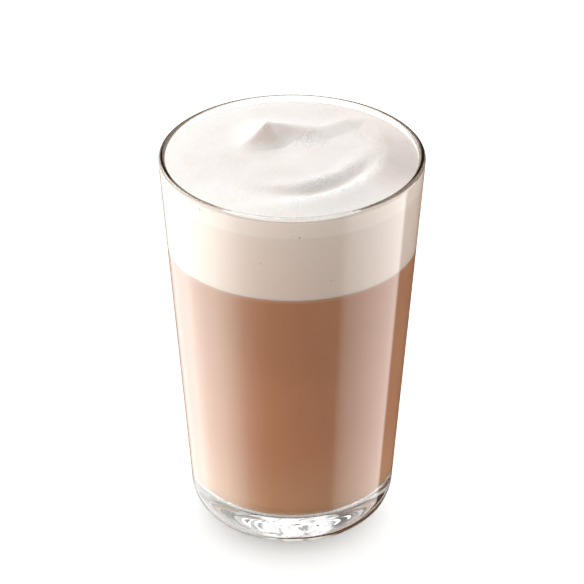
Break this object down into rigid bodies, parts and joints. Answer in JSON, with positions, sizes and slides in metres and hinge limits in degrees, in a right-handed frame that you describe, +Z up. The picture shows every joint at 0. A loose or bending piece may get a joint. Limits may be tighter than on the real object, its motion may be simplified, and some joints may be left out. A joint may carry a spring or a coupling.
{
  "type": "cappuccino in a glass tumbler",
  "caption": "Milk coffee with a swirled head of milk foam in a tall conical glass with a heavy rounded base.",
  "frame": {"origin": "on the glass's axis, level with the foot ring that it stands on", "axes": "+Z up along the glass's axis; +X to the right and -Y towards a viewer who sees the foam's peak behind and to the left of the middle"},
  "size_m": [0.0758, 0.0758, 0.1209],
  "materials": {
    "glass": "clear fire-polished soda-lime glass",
    "coffee": "opaque milky liquid, a smooth latte brown",
    "foam": "fine off-white milk foam, faintly coffee-tinted"
  },
  "bodies": {
    "root": {"glass_tumbler": "glass", "milk_coffee": "coffee", "milk_foam": "foam"}
  },
  "joints": []
}
